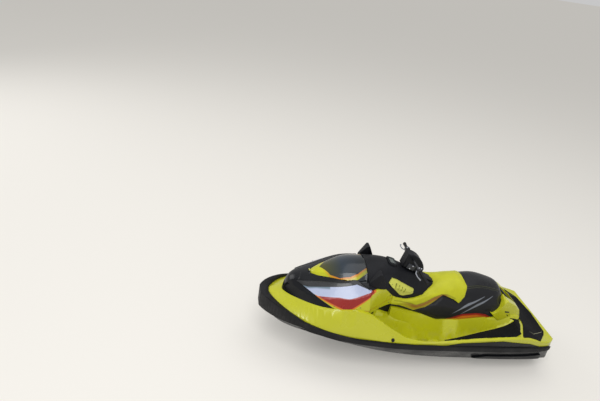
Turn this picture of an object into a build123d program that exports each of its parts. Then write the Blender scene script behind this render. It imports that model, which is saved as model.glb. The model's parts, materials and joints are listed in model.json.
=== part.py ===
"""Two-seat sport personal watercraft: hull, deck, upper works, seat, steering and jet pump.

Frame: +X towards the bow, +Y to port, +Z up. The origin is under the middle of the craft, on the
flat it stands on. A place along the craft is given as its distance aft of the bow tip.
All sizes are in millimetres.
"""
from build123d import *
import os
from math import cos, radians, sin

os.makedirs("parts", exist_ok=True)

# Overall sizes
LENGTH = 3234
WIDE = 2000
SKIN = 10

# Shut lines and fits
GAP = 5
RUNNING = 0.1
PANEL = 13

# Stern: where the hull, the deck and the bumper end
HULL_END = 3180
DECK_END = 3192

# Jet pump
PUMP_Z = 150
BORE_R = 78
HOUSING_R = 98
TIP_GAP = 2
PUMP_FACE = 2820
HOUSING_END = 2940
VENTURI_END = 3067
VENTURI_TIP_R = 48
VENTURI_WALL = 6
NOZZLE_PIVOT = 3070
NOZZLE_EXIT = 3167
BUCKET_PIVOT = 3008
BUCKET_Z = 165
BUCKET_R = 188
BUCKET_HALF = 122
RECESS_HALF = 185
RECESS_TOP = 366
RIDE_PLATE = 18
SHAFT_R = 14
HUB_R = 30
BLADES = 4
VANES = 6

# Steering
COLUMN_AFT = 1560
COLUMN_Z = 955
COLUMN_TILT = 22
TURN_R = 150
BAR_R = 11
GRIP_R = 16


def x_at(aft):
    """Frame X of a place given by its distance aft of the bow tip."""
    return LENGTH / 2 - aft


def station(aft):
    """Plane across the craft; its own axes are port and up."""
    return Plane(origin=(x_at(aft), 0, 0), x_dir=(0, 1, 0), z_dir=(1, 0, 0))


def ring(aft, half, crown):
    """Closed section: runs up the port side, an arc over the top, and the same runs down again."""
    port = [(y, z) for y, z in half]
    starboard = [(-y, z) for y, z in reversed(half)]
    top = ThreePointArc(port[-1], (0, crown), starboard[0])
    edges = Polyline(*port).edges() + top.edges() + Polyline(*starboard).edges()
    edges += Line(starboard[-1], port[0]).edges()
    return station(aft) * Wire(edges)


def tapered(rows, grow=0):
    """Loft of rows (aft, then y and z up the side, then the crown); grow fattens it all round."""
    wires = []
    for aft, *places, crown in rows:
        ends = {rows[0][0]: -grow, rows[-1][0]: grow}
        sides = list(zip(places[0::2], places[1::2]))
        half = [(sides[0][0] + grow, sides[0][1] - grow)]
        half += [(y + grow, z + grow / 2) for y, z in sides[1:]]
        wires.append(ring(aft + ends.get(aft, 0), half, crown + grow))
    return Solid.make_loft(wires)


def across(edges):
    """Solid from a closed outline in side view, as wide as anything on the craft."""
    return extrude(Plane.XZ * make_face(edges), amount=WIDE / 2, both=True)


def side_view(points):
    """Solid from an outline of (aft, z) points in side view."""
    outline = [(x_at(aft), z) for aft, z in points]
    return across(Polyline(*outline, close=True).edges())


def plan_view(points, low, high):
    """Solid from an outline of (aft, y) points seen from above, between two heights."""
    outline = [(x_at(aft), y) for aft, y in points]
    face = make_face(Polyline(*outline, close=True).edges())
    return Pos(0, 0, low) * extrude(face, amount=high - low)


def port_side():
    """Everything to port of the middle plane."""
    return Pos(0, WIDE / 4, 500) * Box(2 * LENGTH, WIDE / 2, 3000)


def box_between(aft_range, y_range, z_range):
    """Box from its ranges aft, across and up."""
    size = [abs(b - a) for a, b in (aft_range, y_range, z_range)]
    middle = (x_at(sum(aft_range) / 2), sum(y_range) / 2, sum(z_range) / 2)
    return Pos(*middle) * Box(*size)


def rod(start, end, radius):
    """Round bar between two points of the frame."""
    axis = Vector(*end) - Vector(*start)
    return Plane(origin=start, z_dir=axis) * Cylinder(
        radius, axis.length, align=(Align.CENTER, Align.CENTER, Align.MIN)
    )


def along(profile, height):
    """Body of revolution about the pump axis from (aft, radius) points, closed on the axis."""
    points = [(x_at(aft), radius) for aft, radius in profile]
    face = make_face(Polyline(*points, close=True).edges())
    return Pos(0, 0, height) * revolve(face, Axis.X)


def largest(shape):
    """The main solid of a cut, without the slivers beside it."""
    return max(shape.solids(), key=lambda solid: solid.volume)


def mirrored(solid):
    """The same piece on the starboard side."""
    return mirror(solid, about=Plane.XZ)


# The hull and deck joint in side view: two arcs, each through three (aft, z) points
SHEER_BOW = [(-60, 582), (556, 463), (1610, 383)]
SHEER_STERN = [(1610, 383), (2440, 369), (3400, 312)]


def sheer_region(rise, low):
    """Everything below the joint line, raised by rise, down to low."""
    bow = [(x_at(aft), z + rise) for aft, z in SHEER_BOW]
    stern = [(x_at(aft), z + rise) for aft, z in SHEER_STERN]
    edges = ThreePointArc(*bow).edges() + ThreePointArc(*stern).edges()
    edges += Polyline(stern[-1], (stern[-1][0], low), (bow[0][0], low), bow[0]).edges()
    return across(edges)


# Hull sections: aft, keel pad y, keel z, chine y, chine z, rail y, rail z, top y, top z, crown
HULL_TOP = 720
HULL_SECTIONS = [
    (aft, pad_y, keel_z, chine_y, chine_z, rail_y, rail_z, rail_y, HULL_TOP, HULL_TOP + 10)
    for aft, keel_z, pad_y, chine_y, chine_z, rail_y, rail_z in [
        (HULL_END, -2, 172, 440, 150, 472, 290),
        (2900, -2, 172, 480, 165, 538, 310),
        (2400, -2, 162, 500, 178, 579, 335),
        (1900, -2, 140, 505, 190, 589, 345),
        (1500, -2, 110, 495, 208, 585, 355),
        (1100, 12, 70, 455, 245, 563, 375),
        (750, 48, 40, 385, 300, 519, 405),
        (450, 115, 25, 285, 365, 412, 450),
        (230, 220, 18, 170, 430, 265, 492),
        (130, 330, 14, 80, 480, 140, 520),
        (88, 470, 8, 18, 535, 50, 550),
    ]
]

# Bumper sections: aft, foot y, foot z, side y, side z, crown
BUMPER_SECTIONS = [
    (3232, 494, 200, 494, 640, 650),
    (2900, 553, 200, 553, 640, 650),
    (2400, 594, 200, 594, 640, 650),
    (1900, 604, 200, 604, 640, 650),
    (1500, 600, 200, 600, 640, 650),
    (1100, 579, 200, 579, 640, 650),
    (750, 538, 200, 538, 640, 650),
    (450, 440, 200, 440, 640, 650),
    (200, 292, 200, 292, 640, 650),
    (60, 160, 200, 160, 640, 650),
    (4, 62, 200, 62, 640, 650),
]

# The bumper's rib stands this far above and below the joint line; its lip is set back and taller
BUMPER_RISE = 22
BUMPER_LIP = 10
BUMPER_STEP = 6
NOSE_END = 430

# Lifting strakes: width, where they reach it, and their places between the keel pad and the chine
STRAKE = 26
STRAKE_START = 600
STRAKE_SHARES = (0.30, 0.62)

# Deck sections: aft, foot y, foot z, edge y, lip z, ridge y, ridge z, crown
DECK_LOW = 240
DECK_SECTIONS = [
    (aft, edge_y, DECK_LOW, edge_y, lip_z, ridge_y, ridge_z, crown)
    for aft, edge_y, lip_z, ridge_y, ridge_z, crown in [
        (DECK_END, 478, 402, 462, 410, 412),
        (3020, 516, 426, 499, 434, 436),
        (2800, 545, 478, 528, 488, 520),
        (2510, 568, 490, 552, 502, 530),
        (2280, 578, 478, 562, 490, 500),
        (1980, 586, 452, 572, 463, 470),
        (1670, 586, 430, 578, 438, 445),
        (1450, 581, 428, 556, 478, 485),
        (1220, 570, 438, 520, 605, 612),
        (980, 548, 452, 480, 705, 715),
        (720, 513, 476, 440, 690, 705),
        (560, 460, 500, 360, 668, 685),
        (400, 382, 530, 235, 648, 660),
        (230, 262, 556, 95, 618, 625),
        (130, 138, 570, 60, 600, 606),
        (88, 48, 578, 25, 590, 593),
    ]
]

# Footwell sections: aft, inner top y, inner floor y, floor z, outer floor y, outer y, outer z
FOOTWELL_SECTIONS = [
    (1000, 405, 415, 690, 435, 450, 700),
    (1220, 330, 352, 480, 440, 502, 590),
    (1450, 282, 335, 318, 470, 540, 465),
    (1740, 260, 328, 262, 500, 560, 425),
    (2130, 252, 318, 290, 505, 556, 455),
    (2510, 246, 295, 395, 500, 543, 492),
    (2700, 244, 282, 462, 500, 528, 494),
    (2790, 242, 275, 540, 490, 510, 545),
]
WELL_SIDE_Z = 540
WELL_TOP = 1000
MAT = 6


def footwell(grow):
    """Space of the port footwell; grow makes the tray around it."""
    wires = []
    for aft, in_y, floor_in, floor_z, floor_out, out_y, out_z in FOOTWELL_SECTIONS:
        side_z = max(WELL_SIDE_Z, floor_z + 40)
        points = [
            (in_y - grow, WELL_TOP),
            (in_y - grow, side_z),
            (floor_in - grow, floor_z - grow),
            (floor_out + grow, floor_z - grow),
            (out_y + grow, out_z),
            (out_y + grow, WELL_TOP),
        ]
        ends = {FOOTWELL_SECTIONS[0][0]: -grow, FOOTWELL_SECTIONS[-1][0]: grow}
        outline = Polyline(*points, close=True)
        wires.append(station(aft + ends.get(aft, 0)) * Wire(outline.edges()))
    return Solid.make_loft(wires)


def footwell_mat():
    """Non-slip mat on the port footwell's floor and up its ramp."""
    wires = []
    for aft, _, floor_in, floor_z, floor_out, _, _ in FOOTWELL_SECTIONS[2:]:
        near, far = floor_in + 12, floor_out - 12
        outline = Polyline((near, floor_z), (far, floor_z), (far, floor_z + MAT),
                           (near, floor_z + MAT), close=True)
        wires.append(station(aft) * Wire(outline.edges()))
    return Solid.make_loft(wires)


# Top of the pedestal that carries the seat, in side view (aft, z)
SEAT_BED = [(1340, 640), (1690, 552), (1880, 480), (2150, 488), (2420, 524), (2600, 505), (2680, 500)]
PEDESTAL_HALF = 290
PEDESTAL_LOW = 330

# Mats on the deck seen from above, as (aft, y): behind the footwell, and half of the platform
REAR_MAT = [(2630, 240), (2630, 512), (2700, 504), (2742, 475), (2782, 416), (2823, 336), (2847, 240)]
PLATFORM_MAT = [
    (2884, 0), (2884, 252), (2865, 321), (2808, 427), (2768, 502), (2762, 532), (2839, 515),
    (2984, 517), (3111, 379), (3150, 313), (3172, 0),
]

# Stern corners in plan: where the straight stern ends, and where the round meets the side
CORNER_Y = 345
CORNER_AFT = 3050
CORNER_SIDE = 510


def bumper_band(lip):
    """Bumper's height along the joint line and, taller, round the bow; lip makes it that much taller."""
    bow = x_at(NOSE_END)
    start = x_at(-20)
    edges = Line((start, 604 + lip), (x_at(50), 604 + lip)).edges()
    edges += ThreePointArc((x_at(50), 604 + lip), (x_at(250), 566 + lip), (bow, 508 + lip)).edges()
    edges += Polyline((bow, 508 + lip), (bow, 460 - lip), (start, 446 - lip), (start, 604 + lip)).edges()
    return across(edges) + (sheer_region(BUMPER_RISE + lip, 200) - sheer_region(-BUMPER_RISE - lip, 0))


def stern_corners(grow):
    """Everything inside the rounded stern corners; grow moves the corners outwards."""
    stern = x_at(LENGTH)
    start = x_at(CORNER_AFT)
    inner, side = CORNER_Y + grow, CORNER_SIDE + grow
    mid = (stern + 52 - grow / 2, inner + 98)
    edges = Line((stern, -inner), (stern, inner)).edges()
    edges += ThreePointArc((stern, inner), mid, (start, side)).edges()
    edges += Polyline((start, side), (0, WIDE / 2), (LENGTH, WIDE / 2)).edges()
    edges += Polyline((LENGTH, WIDE / 2), (LENGTH, -WIDE / 2), (0, -WIDE / 2), (start, -side)).edges()
    edges += ThreePointArc((start, -side), (mid[0], -mid[1]), (stern, -inner)).edges()
    return Pos(0, 0, -50) * extrude(make_face(edges), amount=1300)


# Intake tunnel in side view (aft, z): mouth, roof, and where it meets the round bore
INTAKE = [
    (2020, -20), (2600, PUMP_Z + BORE_R), (2660, PUMP_Z + BORE_R), (2660, PUMP_Z - BORE_R),
    (2520, -20),
]
ENGINE_BAY = ((1600, 2210), (-200, 200), (110, 600))
ENGINE = ((1640, 2170), (-165, 165), (124, 455))
BOW_EYE = (92, 345)
STERN_EYE = (3206, 330, 235)
EYE_HOLE_R = 11
EYE_R = 22
EYE_THICK = 12


def pump_recess():
    """Stern tunnel that holds the pump, open below and astern."""
    half = RECESS_HALF
    return box_between((PUMP_FACE, LENGTH + 50), (-half, half), (-20, RECESS_TOP))


def intake_tunnel():
    """Sloping water tunnel from the mouth in the bottom to the round pump bore."""
    ramp = side_view(INTAKE) & Box(2 * LENGTH, 2 * BORE_R, 1000)
    bore = rod((x_at(2600), 0, PUMP_Z), (x_at(PUMP_FACE + 1), 0, PUMP_Z), BORE_R)
    return ramp + bore


def strake(share):
    """Lifting strake on the port side: a rail with a level foot, that share of the way to the chine."""
    wires = []
    for aft, pad_y, keel_z, chine_y, chine_z, *_ in HULL_SECTIONS[:8]:
        width = STRAKE if aft > STRAKE_START else STRAKE / 8
        y = pad_y + (chine_y - pad_y) * share
        z = keel_z + (chine_z - keel_z) * share
        outer = z + (chine_z - keel_z) / (chine_y - pad_y) * width + 5
        outline = Polyline((y, z), (y + width, z), (y + width, outer), (y, z + 5), close=True)
        wires.append(station(aft) * Wire(outline.edges()))
    return Solid.make_loft(wires)


def build_hull_and_deck():
    """Hull, deck, bumper and mats, which share the joint line."""
    made = {}
    below = sheer_region(0, -200)
    corners = stern_corners(0)
    stand = box_between((-50, LENGTH + 50), (-WIDE / 2, WIDE / 2), (0, 1200))
    hull_raw = tapered(HULL_SECTIONS) & stand
    deck_raw = tapered(DECK_SECTIONS)
    deck_skin = tapered(DECK_SECTIONS, MAT)
    well = footwell(0)
    tray = footwell(SKIN)

    hull = (hull_raw & below & corners) - tray - mirrored(tray)
    for share in STRAKE_SHARES:
        hull += strake(share)
        hull += mirrored(strake(share))
    hull = hull - intake_tunnel() - pump_recess() - box_between(*ENGINE_BAY)
    hull -= rod((x_at(2200), 0, PUMP_Z), (x_at(2700), 0, PUMP_Z), SHAFT_R + GAP)
    made["hull"] = hull

    pedestal = side_view(SEAT_BED + [(2680, PEDESTAL_LOW), (1340, PEDESTAL_LOW)])
    pedestal &= Pos(0, 0, 500) * Box(2 * LENGTH, 2 * PEDESTAL_HALF, 1000)
    deck = (deck_raw - below) + (pedestal - below) + (tapered(TAIL_SECTIONS) - below)
    for side in (tray, mirrored(tray)):
        deck += side & below & hull_raw
    deck = (deck - well - mirrored(well)) & corners
    deck -= box_between(*ENGINE_BAY)
    deck -= box_between(*BIN)
    deck -= pump_recess()
    made["deck"] = deck

    bumper = tapered(BUMPER_SECTIONS) & bumper_band(0) & stern_corners(14)
    bumper += tapered(BUMPER_SECTIONS, -BUMPER_STEP) & bumper_band(BUMPER_LIP) & stern_corners(8)
    bumper = largest(bumper - hull_raw - deck_raw)
    made["bumper"] = bumper

    mat = (footwell_mat() & deck_skin) + ((deck_skin & plan_view(REAR_MAT, 380, 640)) - deck_raw - well)
    mat = largest(mat - deck)
    made["footwell_mat_port"] = mat
    made["footwell_mat_starboard"] = mirrored(mat)
    outline = PLATFORM_MAT + [(aft, -y) for aft, y in reversed(PLATFORM_MAT[1:-1])]
    made["platform_mat"] = (deck_skin & plan_view(outline, 380, 600)) - deck_raw - deck
    quarter = (deck_skin & side_view(QUARTER) & port_side()) - deck_raw - below
    made["quarter_panel_port"] = quarter - bumper
    made["quarter_panel_starboard"] = mirrored(quarter - bumper)
    outlet = rod((x_at(1320), 500, 452), (x_at(1320), 700, 452), 17)
    outlet = (deck_skin & outlet) - deck
    made["side_outlet_port"] = outlet
    made["side_outlet_starboard"] = mirrored(outlet)
    return made


def eye(aft, y, z, reach):
    """Towing eye: a plate with a cross hole, carried by a foot that reaches into the hull."""
    plate = rod((x_at(aft), y - EYE_THICK / 2, z), (x_at(aft), y + EYE_THICK / 2, z), EYE_R)
    foot = Pos(x_at(aft) + reach / 2, y, z) * Box(abs(reach), EYE_THICK, 2 * EYE_R - 8)
    hole = rod((x_at(aft), y - 20, z), (x_at(aft), y + 20, z), EYE_HOLE_R)
    return plate + foot - hole


def build_hull_fittings(hull, bumper):
    """Eyes, drain plugs, sponsons, ride plate, grate and engine."""
    made = {}
    made["bow_eye"] = eye(*BOW_EYE[:1], 0, BOW_EYE[1], -60) - hull - bumper
    aft, y, z = STERN_EYE
    made["stern_eye_port"] = eye(aft, y, z, 40) - hull - bumper
    made["stern_eye_starboard"] = mirrored(made["stern_eye_port"])
    plug = rod((x_at(HULL_END + 9), 255, 60), (x_at(HULL_END), 255, 60), 15)
    made["drain_plug_port"] = plug
    made["drain_plug_starboard"] = mirrored(plug)
    sponson = (tapered(HULL_SECTIONS, 24) & side_view(SPONSON) & port_side()) - tapered(HULL_SECTIONS)
    made["sponson_port"] = sponson
    made["sponson_starboard"] = mirrored(sponson)
    half = RECESS_HALF - 3
    plate = box_between((PUMP_FACE + 2, HULL_END + 12), (-half, half), (0, RIDE_PLATE))
    made["ride_plate"] = plate
    bars = [box_between((2030, 2540), (y - 5, y + 5), (2, 16)) for y in (-48, -16, 16, 48)]
    frame = box_between((2440, 2460), (-BORE_R, BORE_R), (4, 12))
    frame += box_between((2160, 2180), (-BORE_R, BORE_R), (4, 12))
    grate = frame
    for bar in bars:
        grate += bar
    made["intake_grate"] = grate - hull
    made["engine"] = chamfer(box_between(*ENGINE).edges().filter_by(Axis.X), 40)
    return made


# Front cowl sections: aft, base y, base z, shoulder y, shoulder z, top y, top z, crown
COWL_SECTIONS = [
    (225, 30, 598, 24, 612, 12, 620, 624),
    (370, 205, 625, 165, 740, 100, 812, 828),
    (550, 352, 640, 305, 748, 165, 842, 862),
    (720, 432, 655, 366, 778, 225, 880, 905),
    (860, 452, 660, 388, 802, 262, 900, 925),
    (1050, 440, 655, 368, 850, 280, 905, 940),
]

# Hood sections: aft, edge y, edge z, shoulder y, shoulder z, crown
HOOD_SECTIONS = [
    (492, 22, 838, 16, 850, 855),
    (620, 122, 862, 92, 895, 920),
    (740, 196, 876, 140, 932, 965),
    (860, 250, 888, 175, 958, 1000),
    (950, 260, 894, 180, 968, 1014),
    (1045, 262, 900, 180, 975, 1024),
]
HOOD_WALL = 12

# Console sections: aft, base y, base z, side y, side z, top y, top z, crown
CONSOLE_SECTIONS = [
    (1050, 440, 655, 368, 850, 262, 915, 1024),
    (1150, 345, 600, 322, 868, 215, 945, 1034),
    (1280, 262, 560, 282, 880, 175, 955, 1034),
    (1420, 235, 560, 258, 845, 150, 930, 1000),
    (1560, 220, 560, 236, 795, 130, 885, 947),
    (1700, 190, 600, 198, 760, 108, 840, 886),
    (1885, 100, 690, 92, 765, 55, 795, 806),
]

# Seat sections: aft, low y, low z, waist y, waist z, top y, top z, crown
SEAT_SECTIONS = [
    (1330, 270, 640, 264, 700, 250, 780, 800),
    (1450, 262, 632, 258, 690, 245, 745, 770),
    (1600, 256, 580, 250, 660, 235, 740, 770),
    (1750, 254, 528, 246, 650, 220, 760, 790),
    (1880, 252, 485, 238, 650, 190, 780, 820),
    (2040, 250, 486, 230, 660, 168, 810, 860),
    (2180, 250, 492, 225, 680, 158, 832, 888),
    (2280, 249, 508, 222, 690, 154, 848, 905),
    (2400, 247, 522, 219, 690, 152, 838, 893),
    (2520, 243, 515, 212, 670, 146, 805, 862),
    (2630, 222, 515, 190, 640, 128, 745, 800),
]
SADDLE_PROUD = 9

# Rear cowl sections: aft, low y, low z, top y, top z, crown
REAR_SECTIONS = [
    (2480, 262, 470, 255, 600, 610),
    (2600, 262, 470, 246, 660, 690),
    (2660, 258, 470, 232, 722, 748),
    (2760, 250, 450, 216, 690, 712),
    (2866, 236, 430, 192, 600, 620),
]

# Outlines in side view, as (aft, z)
FAIRING = [
    (350, 798), (930, 925), (1085, 868), (1150, 880), (1230, 872), (1330, 775), (1330, 672),
    (1180, 640), (1020, 660), (800, 672), (715, 690), (535, 755),
]
NOSE = [
    (100, 560), (100, 900), (405, 900), (405, 845), (350, 798), (535, 755), (715, 690), (760, 600),
]
SADDLE = [
    (1330, 775), (1370, 752), (1480, 730), (1590, 742), (1700, 778), (1885, 900), (2150, 960),
    (2188, 850), (2160, 745), (2100, 682), (2040, 718), (1910, 760), (1820, 700), (1720, 636),
    (1600, 596), (1440, 655), (1330, 672),
]
VENT = [(1271, 913), (1313, 938), (1371, 920), (1564, 826), (1540, 792), (1442, 776), (1403, 789),
        (1314, 875)]
REAR_COWL = [
    (2490, 588), (2560, 606), (2602, 650), (2652, 746), (2690, 712), (2770, 672), (2850, 618),
    (2870, 520), (2620, 470),
]
QUARTER = [(1800, 392), (2050, 446), (2520, 470), (2860, 420), (3100, 335), (3100, 200), (1800, 200)]
SPONSON = [(2260, 205), (2400, 250), (3060, 245), (3080, 170), (2450, 165)]
BIN = ((720, 1000), (-160, 160), (640, 960))
BIN_WALL = 4

# Louvres of the side vent: first place (aft, z), step to the next, count, length, width and lean
LOUVRE_START = (1346, 886)
LOUVRE_STEP = (34, -18)
LOUVRES = 4
LOUVRE_SIZE = (34, 12)
LOUVRE_LEAN = 128

# Foot of the rear cowl, moulded on the deck, and the cap on its end: aft, foot y, foot z, shoulder
# y, shoulder z, crown
TAIL_SECTIONS = [
    (2600, 284, 430, 246, 562, 580),
    (2790, 276, 420, 242, 556, 568),
    (2850, 262, 410, 236, 545, 552),
]
CAP_SECTIONS = [
    (2850, 262, 410, 236, 545, 552),
    (2868, 256, 405, 232, 526, 532),
    (2880, 248, 400, 220, 496, 500),
]
# Tail block between the rear cowl's fins: half width, and its outline in side view (aft, z)
CHANNEL_HALF = 112
CHANNEL = [(2600, 500), (2600, 640), (2665, 622), (2742, 592), (2842, 562), (2842, 500)]

# Grab handle across the channel: aft, height and radius
HANDLE = (2756, 656, 11)

# Hood hinge (aft, z) and glovebox hinge (ahead, up, in the steering frame), each with its pin
# radius, knuckle radius, knuckle half width, lug width and how far the lugs reach down
HOOD_HINGE = (487, 862)
HOOD_PIN = (3, 7, 12, 8, 24)
LID_HINGE = (-161, -12)
LID_PIN = (2.5, 5, 32, 8, 12)


def steering_frame():
    """Plane across the steering axis, where the riser meets the console."""
    tilt = radians(COLUMN_TILT)
    return Plane(
        origin=(x_at(COLUMN_AFT), 0, COLUMN_Z),
        x_dir=(cos(tilt), 0, sin(tilt)),
        z_dir=(-sin(tilt), 0, cos(tilt)),
    )


# Glovebox in the steering frame: from and to behind the column, half width, depth below its rim
GLOVEBOX = (-282, -168, 52, 70)
LID_SEAT = -22
LID = 10


def build_upper_works(deck):
    """Cowl, hood, bin, console, fairings, vents, seat and rear cowl, each cut to its neighbours."""
    made = {}
    hood_outer = tapered(HOOD_SECTIONS)
    hood_space = tapered(HOOD_SECTIONS, GAP) + Pos(0, 0, -GAP) * tapered(HOOD_SECTIONS, GAP)
    aft, z = HOOD_HINGE
    half = HOOD_PIN[2] + 1
    hood_space += box_between((aft - 12, aft + 40), (-half, half), (z - HOOD_PIN[1] - GAP, z + 30))
    cowl = tapered(COWL_SECTIONS)
    console = tapered(CONSOLE_SECTIONS)
    nose = side_view(NOSE)
    bin_outer = box_between(*BIN)
    bin_inner = box_between(
        (BIN[0][0] + BIN_WALL, BIN[0][1] - BIN_WALL),
        (BIN[1][0] + BIN_WALL, BIN[1][1] - BIN_WALL),
        (BIN[2][0] + BIN_WALL, BIN[2][1] + 50),
    )
    made["storage_bin"] = ((bin_outer - bin_inner) & cowl) - hood_space - deck
    cowl_body = cowl - deck - hood_space - bin_outer
    for side in (-GAP, GAP, 0):
        cowl_body -= Pos(0, side, abs(side) / 2) * hood_outer
    made["nose_panel"] = cowl_body & nose
    made["front_cowl"] = cowl_body - nose
    core = tapered(HOOD_SECTIONS, -HOOD_WALL)
    hood = hood_outer - core - Pos(0, 0, -2 * HOOD_WALL) * core
    pin, knuckle, notches, hole = [Pos(x_at(aft), 0, z) * solid for solid in hinge(*HOOD_PIN)]
    tongue = box_between((aft, aft + 26), (-HOOD_PIN[2], HOOD_PIN[2]), (z - HOOD_PIN[1], z))
    made["hood"] = (hood - notches) + knuckle + tongue - hole
    made["hood_pin"] = pin - made["front_cowl"]

    frame = steering_frame()
    start, end, half, depth = GLOVEBOX
    seat = frame * Pos((start + end) / 2, 0, LID_SEAT)
    pocket = seat * Pos(0, 0, -depth / 2) * Box(end - start, 2 * half, depth)
    lid_space = seat * Pos(0, 0, 25) * Box(end - start + 24, 2 * half + 24, 50)
    turning = frame * Pos(0, 0, 150 - 1 - GAP) * Cylinder(TURN_R, 300)
    column = frame * Cylinder(20, 120)
    console_body = console - turning - deck - hood_space - column - gauge_body(100)
    place = frame * Pos(LID_HINGE[0], 0, LID_HINGE[1])
    pin, knuckle, notches, hole = [place * solid for solid in hinge(*LID_PIN)]
    room = place * Rot(90, 0, 0) * Cylinder(LID_PIN[1] + 4, 2 * half + 24)
    made["console"] = console_body - (pocket + lid_space) - room - pin
    lid = seat * Pos(0, 0, LID / 2) * Box(end - start + 14, 2 * half + 14, LID)
    made["glovebox_lid"] = (lid - notches) + knuckle - hole
    made["lid_pin"] = pin
    made["gauge"] = gauge_body(GAUGE_TOP) - screen_recess()

    sides = tapered(COWL_SECTIONS, PANEL) + tapered(CONSOLE_SECTIONS, PANEL)
    fairing = (sides & side_view(FAIRING) & port_side()) - cowl - console - deck - hood_space
    made["side_fairing_port"] = fairing
    made["side_fairing_starboard"] = mirrored(fairing)
    vent = (tapered(CONSOLE_SECTIONS, PANEL) & side_view(VENT) & port_side()) - console - louvres()
    made["side_vent_port"] = vent
    made["side_vent_starboard"] = mirrored(vent)

    cushion = tapered(SEAT_SECTIONS)
    saddle = (tapered(SEAT_SECTIONS, SADDLE_PROUD) & side_view(SADDLE)) - console - deck
    made["seat_saddle"] = saddle - fairing - mirrored(fairing)
    made["seat_rear"] = largest(cushion - saddle - deck - console)
    made.update(build_tail(cushion, deck))
    return made


def build_tail(cushion, deck):
    """Cowl with a fin on either side, the block and handle between the fins, and the cap below."""
    gap = box_between((2400, CHANNEL[-1][0]), (-CHANNEL_HALF, CHANNEL_HALF), (400, 900))
    block = largest((side_view(CHANNEL) & gap) - deck - cushion)
    cap = tapered(CAP_SECTIONS) - deck
    rear = (tapered(REAR_SECTIONS) & side_view(REAR_COWL)) - cushion - deck - cap - gap
    aft, z, radius = HANDLE
    bar = rod((x_at(aft), -CHANNEL_HALF, z), (x_at(aft), CHANNEL_HALF, z), radius)
    return {"tail_block": block, "tail_cap": cap, "rear_cowl": rear, "grab_handle": bar}


def louvres():
    """Slots that lean across the side vent, in side view."""
    slots = [
        Pos(x_at(LOUVRE_START[0] + LOUVRE_STEP[0] * number), LOUVRE_START[1] + LOUVRE_STEP[1] * number)
        * SlotCenterToCenter(*LOUVRE_SIZE, rotation=LOUVRE_LEAN)
        for number in range(LOUVRES)
    ]
    return extrude(Plane.XZ * Sketch(children=slots), amount=WIDE / 2, both=True)


# Gauge housing: how deep it sits in the console, and where its face is
GAUGE_DEEP = 32
GAUGE_TOP = 6


def gauge_frame():
    """Plane of the gauge's face on top of the console, tipped towards the rider."""
    return Plane(origin=(x_at(1345), 0, 1019), x_dir=(1, 0, 0.26), z_dir=(-0.26, 0, 1))


def gauge_body(top):
    """Gauge housing: a rounded block sunk in the console, up to that height over its plane."""
    block = Pos(0, 0, (top - GAUGE_DEEP) / 2) * Box(96, 150, top + GAUGE_DEEP)
    return gauge_frame() * fillet(block.edges().filter_by(Axis.Z), 22)


def screen_recess():
    """Shallow recess of the gauge's screen."""
    recess = Pos(0, 0, GAUGE_TOP) * Box(72, 118, 6)
    return gauge_frame() * fillet(recess.edges().filter_by(Axis.Z), 12)


def hinge(pin_r, knuckle_r, half, lug, drop):
    """Hinge about the Y axis: pin with two lugs, knuckle, notches for the lugs, and the pin's hole."""
    reach = half + 2 + lug
    pin = rod((0, -reach, 0), (0, reach, 0), pin_r)
    notches = []
    for low, high in ((half + 2, reach), (-reach, -half - 2)):
        middle = (low + high) / 2
        pin += rod((0, low, 0), (0, high, 0), knuckle_r)
        pin += Pos(0, middle, -drop / 2) * Box(2 * knuckle_r, lug, drop)
        notches.append(Pos(0, middle, 0) * Box(2 * knuckle_r + 20, lug + 4, 100))
    knuckle = rod((0, -half, 0), (0, half, 0), knuckle_r)
    hole = rod((0, -reach, 0), (0, reach, 0), pin_r + RUNNING)
    return pin, knuckle, notches[0] + notches[1], hole


def mirror_pod():
    """Port mirror housing: a fin with a raked top and a hollow for the glass in its rear face."""
    outline = [(1056, 880), (1056, 930), (1140, 1046), (1164, 1044), (1222, 918), (1222, 880)]
    plan = [(1030, 262), (1030, 282), (1150, 318), (1224, 322), (1224, 222), (1150, 226)]
    pod = side_view(outline) & plan_view(plan, 860, 1100)
    return fillet(pod.edges(), 8)


def build_mirrors():
    """Mirror pods on the console's shoulders with their glasses."""
    made = {}
    glass = rod((x_at(1194), 272, 980), (x_at(1186), 272, 984), 34)
    pod = mirror_pod() - tapered(CONSOLE_SECTIONS) - tapered(HOOD_SECTIONS, GAP)
    pod -= tapered(COWL_SECTIONS)
    pod -= glass
    made["mirror_pod_port"] = pod
    made["mirror_pod_starboard"] = mirrored(pod)
    made["mirror_glass_port"] = glass & mirror_pod()
    made["mirror_glass_starboard"] = mirrored(made["mirror_glass_port"])
    return made


# Handlebar centre line to port, in the frame: aft, y, z
BAR_PATH = [(1548, 0, 1085), (1550, 100, 1082), (1572, 190, 1056), (1606, 372, 1020)]
# Riser cover in the steering frame, as (ahead of the axis, above the console); its back is an arc
RISER_FRONT = [(-118, -1), (118, -1), (138, 152), (78, 166)]
RISER_BACK = [(78, 166), (-44, 138), (-122, 62)]
RISER_HALF = 62
RISER_ROUND = 16
# Switch pod, its clamp round the bar, and the lever in front of it
POD = (52, 40, 46)
CLAMP_R = 21
LEVER_R = 6
LEVER_PATH = [(30, -26, -4), (52, 12, -8), (50, 70, -16), (34, 108, -22)]


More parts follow.
